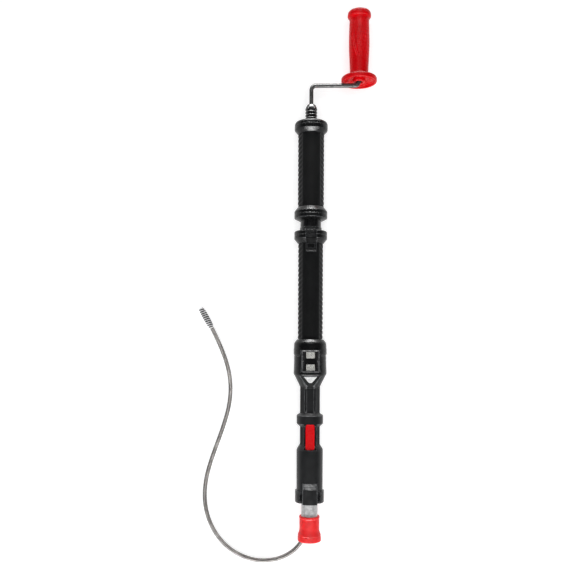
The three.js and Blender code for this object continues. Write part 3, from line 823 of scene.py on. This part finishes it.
def make_lower_handle():
    slot = 8.3
    flange = [
        (17.9, 459.6, 0.2), (19.6, 459.6, 0.4), (25.4, 466.3, 0.7), (25.4, 471.2, 0.3),
        (25, 471.6, 0.2), (25, 472.1, 0.2), (25.4, 472.5, 0.3), (25.4, 476.9, 0.7), (24.4, 478.2, 0.5),
        (17.9, 478.2, 0.2),
    ]

    def open_front(radius, station, angle):
        edge = math.asin(slot / radius)
        share = (angle + math.pi) / (2 * math.pi)
        return radius, station, edge + share * 2 * (math.pi - edge)

    turns = [-math.pi + 2 * math.pi * i / 96 for i in range(97)]
    turned("lower_handle_ring", flange, "black_plastic", "housing", "lower_handle_flange",
           shape=open_front, angles=turns, looped=False)

    start, end, radius = span("lower_grip")
    notch = math.degrees(math.asin(slot / radius))
    notch_floor = 445.1
    beads = knurled(1.3, 18.4)

    def notched(radius, station, angle):
        radius, station, angle = beads(radius, station, angle)
        away, side = abs(angle), math.copysign(1, angle)
        edge, wall = math.radians(notch), math.asin(slot / radius)
        if away < edge:
            station = start + (station - start) * (notch_floor - start) / (end - start)
            return radius, station, angle * wall / edge
        return radius, station, side * (wall + (away - edge) * (math.pi - wall) / (math.pi - edge))

    corners = [(17.9, start, 0.2), (radius, start, 0.6), (radius, end, 0.5), (17.9, end, 0.2)]
    angles = evenly(180, notch - 0.15, notch + 0.15)
    turned("lower_grip_sleeve", corners, "black_rubber", "housing", "lower_grip", crease=55,
           shape=notched, angles=angles, longest=0.8)

    wiper = [
        (16.3, 478.5, 0.1), (18.5, 478.5, 0.3), (18.5, 480, 0.3), (17, 480.5, 0.3), (16.9, 484, 0.3),
        (16.6, 484.6, 0.15), (16.3, 484.6, 0.1),
    ]
    turned("wiper_lip", wiper, "trim_black", "housing", "wiper_ring")


def saddle(name, half_width, corners, under, relief=None, edge=0.7):
    """A curved key on a cylinder: straight sides, rounded rims and a flat-sided underside."""
    columns = 28
    shares = [math.sin(math.pi / 2 * (2 * k / columns - 1)) for k in range(columns + 1)]
    rings = []
    for radius, station in divided(fillet(corners, 0.6, closed=False), 0.45, closed=False):
        top, bottom = [], []
        for share in shares:
            x = half_width * share
            rim = max(0, (abs(x) - half_width + edge) / edge)
            rise = relief(x, station) if relief else 0
            drop = edge * (1 - math.sqrt(max(0, 1 - rim**2)))
            level = math.sqrt(radius**2 - x**2) + rise - drop
            floor = math.sqrt(under**2 - x**2)
            top.append(place(x, station, max(level, floor + 0.02)))
            bottom.append(place(x, station, floor))
        rings.append(top + bottom[::-1])
    return loft(name, rings)


def make_telescope_button():
    corners = [
        (19.2, 445.5), (20.3, 445.5), (21.7, 448.4), (22.5, 458), (25.6, 465.5), (25.6, 477.3),
        (19.2, 477.3),
    ]

    def ridges(x, station):
        across = window(-6.2, 6.2, 0.5, x)
        wave = 0.5 + 0.5 * math.cos(2 * math.pi * station / 2.2)
        thumb = 0.2 * across * window(467, 476, 0.4, station) * wave
        panel = -0.3 * window(-5.2, 5.2, 0.4, x) * window(450.5, 457, 0.5, station)
        return panel - thumb

    mesh = saddle("telescope_thumb_button", 8, corners, 19.1, ridges)
    piece(mesh, "black_plastic", "upper_button", "telescope_button")


# ---- Lock housing ----

FRONT_FLAT = 20.6
POCKET_HALF = 11.4
POCKET_FLOOR = 17.4
FOOT_HALF = 13.5
LOCK_BORE = 18.2
FLAT_SPAN = (260.6, 295.4)
POCKET_SPAN = (263.5, 293)
FOOT_SPAN = (262, 296)


def lock_shape(radius, station, angle):
    """Cuts the front flat and the window's pocket, and draws the foot down to the floor."""
    if radius < LOCK_BORE:
        return radius, station, angle
    front = abs(angle)
    back = math.pi - front
    rim = math.atan(POCKET_HALF / FRONT_FLAT)
    if FLAT_SPAN[0] < station < FLAT_SPAN[1] and front < 1.2:
        radius = min(radius, FRONT_FLAT / math.cos(angle))
        if POCKET_SPAN[0] < station < POCKET_SPAN[1] and front < rim:
            angle = math.atan(math.tan(angle) * FRONT_FLAT / POCKET_FLOOR)
            radius = POCKET_FLOOR / math.cos(angle)
    corner = math.atan(FOOT_HALF / -FLOOR_HEIGHT)
    if FOOT_SPAN[0] < station < FOOT_SPAN[1] and back < corner + 0.001:
        radius = -FLOOR_HEIGHT / math.cos(back)
    elif 286 < station < 287.6 and 0.75 < front < 2.3:
        radius -= 0.4
    return radius, station, angle


def make_lock_housing():
    corners = [
        (13.4, 255.9, 0.2), (24.4, 255.9, 0.6), (25.5, 258.6, 0.8), (25.5, 262, 0.8), (25, 272, 2),
        (24.9, 280, 2), (24.9, 287.2, 0.5), (25.6, 289.4, 0.5), (25.6, 296, 0.8), (25.2, 298.5, 0.8),
        (24.9, 305, 0.8), (23.9, 307.4, 0.5), (20.5, 311.6, 0.4), (17.9, 311.6, 0.2),
        (17.9, 299.7, 0.2), (16.5, 299.7, 0.2), (16.5, 287.5, 0.2), (15, 287.5, 0.2), (15, 262.5, 0.2),
        (13.4, 262.5, 0.2),
    ]
    rim = math.degrees(math.atan(POCKET_HALF / FRONT_FLAT))
    foot = 180 - math.degrees(math.atan(FOOT_HALF / -FLOOR_HEIGHT))
    root = 180 - math.degrees(math.asin(FOOT_HALF / 25.2))
    angles = evenly(144, rim - 0.1, rim + 0.1, foot, root)
    marks = (*FLAT_SPAN, *POCKET_SPAN, *FOOT_SPAN)
    turned("lock_collar", corners, "black_plastic", "housing", "lock_housing", crease=38,
           shape=lock_shape, angles=angles, longest=1.2, marks=marks)


def round_rect(half_x, half_s, corner):
    """Points round a rectangle with round corners, centred on the origin."""
    outline = []
    steps = 6
    for quarter, (sx, sy) in enumerate(((1, 1), (-1, 1), (-1, -1), (1, -1))):
        for k in range(steps + 1):
            angle = math.pi / 2 * (quarter + k / steps)
            x = sx * (half_x - corner) + corner * math.cos(angle)
            outline.append((x, sy * (half_s - corner) + corner * math.sin(angle)))
    return outline


def plate(name, middle, half_x, half_s, corner, levels, looped=False):
    """A plate facing the front: each (inset, height) level is one ring, from underneath to the top."""
    rings = []
    for inset, height in levels:
        rounding = max(0.15, corner - inset)
        outline = round_rect(half_x - inset, half_s - inset, rounding)
        rings.append([place(x, middle + s, height) for x, s in outline])
    return loft(name, rings, looped)


def make_window():
    """The raised frame, the dark rocker leaf in it and the leaf's two pads."""
    levels = [
        (0, 20.9), (0, 21.3), (0.15, 21.6), (0.4, 21.72), (0.8, 21.72), (1.0, 21.62), (1.2, 21.35),
        (1.6, 21.3), (1.95, 21.2), (2.05, 20.9),
    ]
    station = middle_of("window_bezel").y
    bezel = plate("window_frame", station, *half_size("window_bezel"), 1.4, levels, looped=True)
    piece(bezel, "trim_black", "housing", "window_bezel", crease=50)

    levels = [
        (1.2, 18.45), (0.3, 18.5), (0, 18.8), (0, 20.2), (0.15, 20.42), (0.4, 20.5), (1.6, 20.5),
        (1.8, 20.38), (2.2, 20.36),
    ]
    leaf_size = (10.9, 14.1)
    leaf = plate("lock_rocker_leaf", middle_of("lock_rocker").y, *leaf_size, 1.0, levels)
    piece(leaf, "gloss_black", "rocker", "lock_rocker", crease=50)

    levels = [
        (0, 20.8), (0, 21.25), (0.12, 21.48), (0.4, 21.6), (1.3, 21.6), (1.6, 21.42), (2.4, 21.38),
        (2.8, 21.55), (3.3, 21.6), (3.7, 21.45), (4.2, 21.38),
    ]
    for node in ("rocker_pad_upper", "rocker_pad_lower"):
        pad = plate(f"{node}_face", middle_of(node).y, *half_size(node), 0.9, levels)
        piece(pad, "grey_pad", "rocker", node, crease=60)


# ---- Lower housing ----

NECK_FLAT = 15.1
WAIST_START = 141
NECK_END = 255
FACET_START = 239
FACET_HEIGHT = 14.8
FACET_SLOPE = (17.6 - FACET_HEIGHT) / (255.6 - FACET_START)
SHELL_BORE = 13.3
SHELL_RADIUS = 20.2
SEAT_RADIUS = 16.6
SEAT_HALF = 12
SEAT_END = 91.7
BADGE_SEAT = (142.3, 182)
CHANNEL_SPAN = (201, 237.5)
CHANNEL_RADIUS = 13.5
CHANNEL_FLOOR = 12.5
SLOT_DEPTH = 0.9
RIDGE_SPAN = (240, 254.8)
RIDGE_HEIGHT = 0.8
RAIL_INNER = 31.2
RAIL_OUTER = 34.2
RAIL_HEIGHT = 16.1
RAIL_SPAN = (149, 179)
HOUSING = [
    (13.1, 79.2, 0.2), (19.5, 79.2, 0.4), (20.2, 80, 0.5), (20.4, 141.8, 1.2), (15.1, 150.4, 1.2),
    (15.1, 176.7, 1.2), (20.5, 181.5, 1.0), (20.5, 194.6, 1.0), (15.1, 198, 1.5), (15.1, 238, 2),
    (23.8, 255.6, 0.4), (9, 255.6, 0.2), (9, 231, 0.2), (13.1, 231, 0.2),
]


def housing_rear(radius, station, angle):
    """Eight flats round the waist and the neck, and sunk channels along the neck."""
    if radius > SHELL_BORE:
        turn = (abs(angle) + math.pi / 8) % (math.pi / 4) - math.pi / 8
        flat = NECK_FLAT / math.cos(turn)
        if WAIST_START < station < NECK_END:
            radius = max(radius, flat)
        away = math.degrees(abs(angle))
        channel = window(*CHANNEL_SPAN, 2.5, station)
        for middle in (90, 135, 180):
            radius -= SLOT_DEPTH * channel * window(-14, 14, 1.6, away - middle)
        sunk = max(CHANNEL_RADIUS, CHANNEL_FLOOR / math.cos(min(abs(angle), 1.4)))
        radius += channel * window(21.4, 47, 0.9, away) * min(0, sunk - radius)
    return radius, station, angle


def housing_front(radius, station, angle):
    """The rear's flats, with the badge's seat and rails, the front facet and the thumb key's seat."""
    if radius <= SHELL_BORE:
        return radius, station, angle
    radius, station, angle = housing_rear(radius, station, angle)
    away = math.degrees(abs(angle))
    if BADGE_SEAT[0] < station < BADGE_SEAT[1] and away < RAIL_INNER:
        radius = min(radius, NECK_FLAT / math.cos(angle))
    if RAIL_SPAN[0] < station < RAIL_SPAN[1] and RAIL_INNER < away < RAIL_OUTER:
        radius = max(radius, RAIL_HEIGHT / math.cos(angle))
    if FACET_START - 2 < station and away < 60:
        radius = min(radius, (FACET_HEIGHT + FACET_SLOPE * (station - FACET_START)) / math.cos(angle))
        ridge = 4.8 + (station - RIDGE_SPAN[0]) * 0.71
        lift = math.exp(-(((radius * math.sin(abs(angle)) - ridge) / 0.6) ** 2))
        radius += RIDGE_HEIGHT * lift * window(*RIDGE_SPAN, 0.6, station)
    rim, quarter = math.asin(SEAT_HALF / SHELL_RADIUS), math.pi / 2
    if station < SEAT_END + 0.01:
        away, wall = abs(angle), math.asin(SEAT_HALF / max(radius, SEAT_RADIUS))
        if away < rim:
            angle *= math.asin(SEAT_HALF / SEAT_RADIUS) / rim
            radius = SEAT_RADIUS
        else:
            angle = math.copysign(wall + (away - rim) * (quarter - wall) / (quarter - rim), angle)
    return radius, station, angle


def half_turn(centre, *extra):
    """Angles over one half of the tool, in radians, just short of the seam."""
    seam = 89.5
    degrees = {k * 1.5 for k in range(-59, 60)}
    degrees.update(sign * value for value in (seam, *extra) for sign in (-1, 1))
    return [centre + math.radians(value) for value in sorted(degrees)]


def drilled(mesh, holes):
    """The mesh with round holes cut from behind; a hole is (x, station, radius, deepest height)."""
    body = add_object(mesh.name, mesh)
    cutters = []
    for x, station, radius, deepest in holes:
        rings = [disc(x, station, radius, height, 32) for height in (-40, deepest)]
        cutter = add_object("cutter", loft("cutter", rings))
        change = body.modifiers.new("hole", "BOOLEAN")
        change.object = cutter
        change.solver = "EXACT"
        cutters.append(cutter)
    evaluated = body.evaluated_get(bpy.context.evaluated_depsgraph_get())
    cut = bpy.data.meshes.new_from_object(evaluated)
    cut.name = mesh.name + "_body"
    for used in (body, *cutters):
        bpy.data.objects.remove(used)
    return cut


def screw_places():
    """The four housing screws' names and places, as (node, x, station)."""
    nodes = [f"housing_screw_{i}" for i in range(1, 5)]
    return [(node, *middle_of(node).xy) for node in nodes]


def make_lower_housing():
    rim = math.degrees(math.asin(SEAT_HALF / SHELL_RADIUS))
    beside = [edge + gap for edge in (rim, RAIL_INNER, RAIL_OUTER) for gap in (-0.1, 0.1)]
    angles = half_turn(0, *beside, 22.5)
    marks = (SEAT_END, *RAIL_SPAN, *BADGE_SEAT)
    turned("housing_front_shell", HOUSING, "satin_black", "housing", "lower_housing_front", crease=34,
           shape=housing_front, angles=angles, looped=False, longest=0.9, marks=marks)
    rear = revolve("housing_rear_shell", HOUSING, housing_rear, half_turn(math.pi), False, longest=1.6)
    holes = [(x, station, 2.9, -8) for _, x, station in screw_places()]
    piece(drilled(rear, holes), "satin_black", "housing", "lower_housing_rear", crease=34)


def make_screws():
    """Pan-head screws with a hexagon recess, seen from behind."""
    profile = [(1.3, 6.6), (1.3, -8.2), (2.3, -8.3), (2.6, -8.6), (2.6, -9.6), (2.3, -10.2), (1.7, -10.4)]
    recess = [(1.15, -10.4), (1.05, -10.2), (1.05, -9.4)]
    count = 36
    for node, x, station in screw_places():
        rings = [disc(x, station, radius, height, count) for radius, height in profile]
        for across, height in recess:
            ring = []
            for a in circle(count):
                radius = across / math.cos((a + math.pi / 6) % (math.pi / 3) - math.pi / 6)
                ring.append(place(x + radius * math.cos(a), station + radius * math.sin(a), height))
            rings.append(ring)
        piece(loft(f"{node}_pan_head", rings), "black_steel", "housing", node, crease=30)


def make_pointer():
    """A small white wedge on the sloping front facet."""
    tilt = math.atan(FACET_SLOPE)
    rings = []
    for inset, lift in ((0, 0.3), (0, 0.7), (0.12, 0.9), (0.35, 1.0), (1.2, 1.0), (1.5, 0.88)):
        low, high = 6.3 + inset, 15.9 - inset
        foot, top = 2.3 - 0.6 * inset, 10.2 - 1.8 * inset
        corners = [(-foot, low), (foot, low), (top, high), (-top, high)]
        ring = []
        for x, along in fillet(corners):
            station = FACET_START + along * math.cos(tilt) - lift * math.sin(tilt)
            ring.append(place(x, station, FACET_HEIGHT + along * math.sin(tilt) + lift * math.cos(tilt)))
        rings.append(ring)
    piece(loft("pointer_wedge", rings), "white_plastic", "housing", "pointer_plate", crease=50)


def make_badge():
    """A plain red plate with round corners and a shallow sunk panel."""
    levels = [
        (0, 15.4), (0, 16.6), (0.15, 17), (0.45, 17.25), (0.8, 17.3), (1.4, 17.3), (1.65, 17.15),
        (2, 17.1),
    ]
    panel = plate("badge_panel", middle_of("badge_plate").y, *half_size("badge_plate"), 3.2, levels)
    piece(panel, "red_plastic", "housing", "badge_plate", crease=50)


# ---- Nose ----

def make_nose_collar():
    """A clamp ring with four lobes and a seat for the thumb key."""
    start, end, _ = span("nose_collar")
    lobe, groove, bore = 22.5, 20.7, 13.1
    seat_mouth = 21
    grooves = (-135, -35, 35, 135)
    outline = []
    seat = math.degrees(math.asin(SEAT_HALF / SEAT_RADIUS))
    wall = math.degrees(math.asin(SEAT_HALF / seat_mouth))
    count = 132
    for i in range(count + 1):
        away = wall + (360 - 2 * wall) * i / count
        turn = away if away <= 180 else away - 360
        dip = max(window(-9, 9, 1.6, turn - middle) for middle in grooves)
        outline.append((lobe - (lobe - groove) * dip, math.radians(away)))
    for i in range(25):
        outline.append((SEAT_RADIUS, math.radians(-seat + 2 * seat * i / 24)))
    inner = [(bore, angle) for _, angle in outline]

    def ring(points, station, inset=0):
        return [place((r - inset) * math.sin(a), station, (r - inset) * math.cos(a)) for r, a in points]

    rings = [ring(inner, start)]
    rounding = ((0.8, 0), (0.25, 0.25), (0, 0.8))
    rings += [ring(outline, start + s, inset) for inset, s in rounding]
    rings += [ring(outline, start + (end - start) * share) for share in (0.3, 0.5, 0.7)]
    rings += [ring(outline, end - s, inset) for inset, s in reversed(rounding)]
    rings.append(ring(inner, end))
    piece(loft("nose_clamp_ring", rings, looped=True), "black_plastic", "housing", "nose_collar", crease=40)


def make_tube_button():
    corners = [
        (18.6, 59.4), (23.1, 59.4), (23.1, 82.3), (19.9, 91.3), (18.6, 91.3),
    ]

    def ridges(x, station):
        across = window(-10, 10, 0.5, x)
        wave = 0.5 + 0.5 * math.cos(2 * math.pi * station / 1.9)
        return -0.7 * across * window(83, 90.8, 0.3, station) * wave

    mesh = saddle("tube_thumb_button", 11.4, corners, 18.5, ridges, edge=0.9)
    piece(mesh, "satin_black", "nose_button", "tube_button")


def make_guide_tube():
    mesh = straight_tube("guide_tube_zinc", "guide_tube", radius=12.7, wall=1.2, rim=0.4, longest=6)
    piece(mesh, "zinc_tube", "nose", "guide_tube")


def make_boot():
    corners = [
        (15.9, 0, 0.5), (17.6, 0, 0.6), (18.05, 1, 0.7), (18.05, 7.4, 0.6), (17.5, 8.2, 0.3),
        (17.9, 9.3, 0.5), (15.9, 15, 1), (15.4, 18, 1.2), (15.4, 35, 0.5), (15.9, 36, 0.5),
        (15.9, 38, 0.5), (15.2, 38.7, 0.3), (12.95, 38.7, 0.2), (12.95, 19.7, 0.2), (11.4, 19.7, 0.3),
        (12.6, 10, 1.5),
    ]

    def soft(radius, station, angle):
        if radius > 14 and station < 9:
            radius += 0.12 * math.sin(5 * angle + 0.7) + 0.06 * math.sin(11 * angle)
        return radius, station, angle

    turned("rubber_boot", corners, "red_rubber", "nose", "tube_boot",
           shape=soft, angles=evenly(128), longest=1.2)


# ---- CAD pieces that keep their shape ----

KEPT = {
    "steel": [
        "grip_retaining_nut", "coupler_spring", "drive_shaft", "cable_connector", "upper_bearing",
        "lower_bearing", "telescope_button_spring", "rocker_pin", "cable_lock_jaw", "cable_lock_anvil",
        "tube_button_spring",
    ],
    "black_steel": ["grip_thrust_washer", "coupler_body", "shaft_retaining_ring", "connector_screw"],
    "cable_steel": ["inner_cable"],
    "black_plastic": ["upper_handle_core", "lower_handle_core", "tube_stop_ring"],
    "nylon": ["telescope_glide_ring", "exit_bush"],
}


def paint_kept_nodes():
    for look, nodes in KEPT.items():
        for node in nodes:
            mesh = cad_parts[node].data
            mesh.materials.clear()
            mesh.materials.append(LOOKS[look])
            mesh.shade_smooth()
            mesh.set_sharp_from_angle(angle=math.radians(30))


# ---- Stage ----

def make_floor():
    mesh = bpy.data.meshes.new("floor")
    half, count, height = 4.0, 8, -0.0006
    row = count + 1
    lines = [-half + 2 * half * i / count for i in range(row)]
    faces = []
    for j in range(count):
        for i in range(count):
            here = j * row + i
            faces.append((here, here + 1, here + 1 + row, here + row))
    mesh.from_pydata([(x, y, height) for y in lines for x in lines], [], faces)
    floor = add_object("floor", mesh)
    surface = Surface("pale_floor", specular=0.1)
    surface.colour(surface.ramp(surface.noise(0.4), [(0.3, (0.5, 0.5, 0.5)), (0.7, (0.54, 0.54, 0.54))]))
    surface.roughness(surface.noise(0.2), 0.8, 0.9)
    surface.set("Emission Color", (1, 1, 1, 1))
    surface.set("Emission Strength", 0.7)
    mesh.materials.append(surface.material)


def area_light(name, azimuth, polar, distance, width, height, power, lights=("diffuse", "glossy")):
    """A soft panel aimed at the tool; azimuth 0 is along +Y, polar is the angle from straight up."""
    a, p = math.radians(azimuth), math.radians(polar)
    direction = Vector((math.sin(a) * math.sin(p), math.cos(a) * math.sin(p), math.cos(p)))
    data = bpy.data.lights.new(name, "AREA")
    data.shape = "RECTANGLE"
    data.size, data.size_y = width, height
    data.energy = power
    light = add_object(name, data)
    light.location = Vector((AXIS_X, 0, 0)) + direction * distance
    light.rotation_mode = "QUATERNION"
    light.rotation_quaternion = direction.to_track_quat("Z", "Y")
    light.visible_diffuse = "diffuse" in lights
    light.visible_glossy = "glossy" in lights


def make_world():
    """A pale horizon that falls off to a dim ceiling."""
    world = bpy.data.worlds.new("studio")
    world.use_nodes = True
    tree = world.node_tree
    place_on_sky = tree.nodes.new("ShaderNodeTexCoord")
    parts = tree.nodes.new("ShaderNodeSeparateXYZ")
    fall = tree.nodes.new("ShaderNodeValToRGB")
    tree.links.new(place_on_sky.outputs["Generated"], parts.inputs[0])
    tree.links.new(parts.outputs["Z"], fall.inputs["Fac"])
    tree.links.new(fall.outputs["Color"], tree.nodes["Background"].inputs["Color"])
    stops = ((0.0, 0.62), (0.08, 0.45), (0.22, 0.14), (0.5, 0.075))
    elements = fall.color_ramp.elements
    while len(elements) < len(stops):
        elements.new(0.5)
    for element, (height, level) in zip(elements, stops):
        element.position = height
        element.color = (0.95 * level, 0.97 * level, level, 1)
    bpy.context.scene.world = world


def make_light():
    make_world()
    bpy.context.scene.view_settings.view_transform = "Standard"
    area_light("fill_panel", 0, 0, 2.2, 2.0, 2.4, 33, ("diffuse",))
    area_light("front_fill", 180, 62, 2.0, 1.2, 0.9, 18, ("diffuse",))
    area_light("far_strip", 0, 77, 2.0, 3.6, 0.26, 85, ("glossy",))
    area_light("far_core", 0, 77, 1.98, 1.0, 0.26, 45, ("glossy",))
    area_light("near_strip", 180, 64, 2.0, 3.6, 0.32, 90, ("glossy",))
    area_light("near_core", 180, 64, 1.98, 1.1, 0.32, 52, ("glossy",))
    area_light("crown_panel", 0, 41, 2.2, 1.5, 0.24, 11, ("glossy",))


make_camera()
cable, cable_path, cable_length = make_cable()
bulb, bulb_core = make_bulb()
make_crank_rod()
make_crank_grip()
make_coupler()
make_upper_grip()
make_flanges()
make_telescope_tube()
make_lower_handle()
make_telescope_button()
make_lock_housing()
make_window()
make_lower_housing()
make_screws()
make_pointer()
make_badge()
make_nose_collar()
make_tube_button()
make_guide_tube()
make_boot()
paint_kept_nodes()
make_floor()
make_light()
